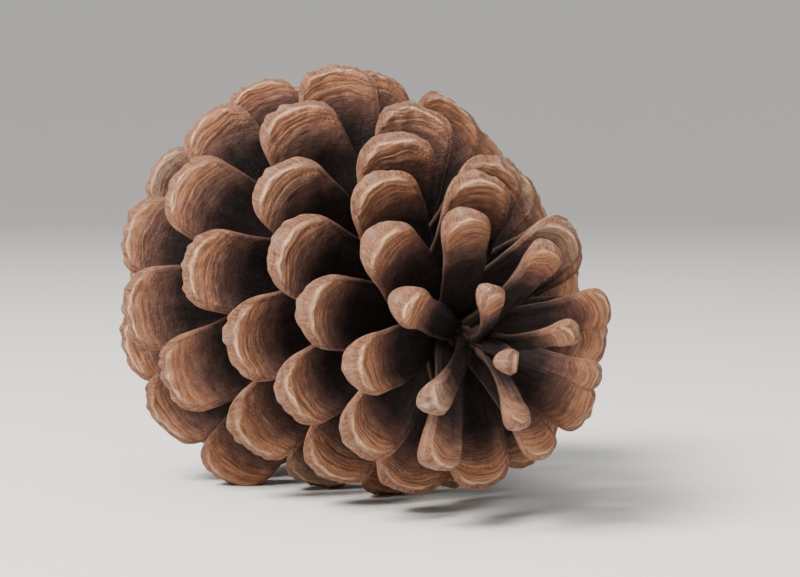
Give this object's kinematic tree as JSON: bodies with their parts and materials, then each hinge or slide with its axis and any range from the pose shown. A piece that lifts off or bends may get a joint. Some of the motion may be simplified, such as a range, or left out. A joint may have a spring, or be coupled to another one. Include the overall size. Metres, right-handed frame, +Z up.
{
  "type": "pine cone",
  "caption": "Open pine cone lying on its side, with woody seed scales in spirals round a central axis and a short stub of stalk.",
  "frame": {"origin": "on the surface that the cone lies on, under the middle of its box", "axes": "+Z up; +X along the cone from its stalk to its tip, level, with the cone's own axis 4.9 degrees below it at the tip; +Y across"},
  "size_m": [0.0912, 0.0704, 0.0643],
  "materials": {
    "scale_wood": "dry, matt, brown; tan and ridged on the swollen ends, near black towards the axis",
    "axis_wood": "dark, rough, dry"
  },
  "bodies": {
    "root": {"axis": "axis_wood", "base_scales": "scale_wood", "scale_01": "scale_wood", "scale_02": "scale_wood", "scale_03": "scale_wood", "scale_04": "scale_wood", "scale_05": "scale_wood", "scale_06": "scale_wood", "scale_07": "scale_wood", "scale_08": "scale_wood", "scale_09": "scale_wood", "scale_10": "scale_wood", "scale_11": "scale_wood", "scale_12": "scale_wood", "scale_13": "scale_wood", "scale_14": "scale_wood", "scale_15": "scale_wood", "scale_16": "scale_wood", "scale_17": "scale_wood", "scale_18": "scale_wood", "scale_19": "scale_wood", "scale_20": "scale_wood", "scale_21": "scale_wood", "scale_22": "scale_wood", "scale_23": "scale_wood", "scale_24": "scale_wood", "scale_25": "scale_wood", "scale_26": "scale_wood", "scale_27": "scale_wood", "scale_28": "scale_wood", "scale_29": "scale_wood", "scale_30": "scale_wood", "scale_31": "scale_wood", "scale_32": "scale_wood", "scale_33": "scale_wood", "scale_34": "scale_wood", "scale_35": "scale_wood", "scale_36": "scale_wood", "scale_37": "scale_wood", "scale_38": "scale_wood", "scale_39": "scale_wood", "scale_40": "scale_wood", "scale_41": "scale_wood", "scale_42": "scale_wood", "scale_43": "scale_wood", "scale_44": "scale_wood", "scale_45": "scale_wood", "scale_46": "scale_wood", "scale_47": "scale_wood", "scale_48": "scale_wood", "scale_49": "scale_wood", "scale_50": "scale_wood", "scale_51": "scale_wood", "scale_52": "scale_wood", "scale_53": "scale_wood", "scale_54": "scale_wood", "scale_55": "scale_wood", "scale_56": "scale_wood", "scale_57": "scale_wood", "scale_58": "scale_wood"}
  },
  "joints": []
}
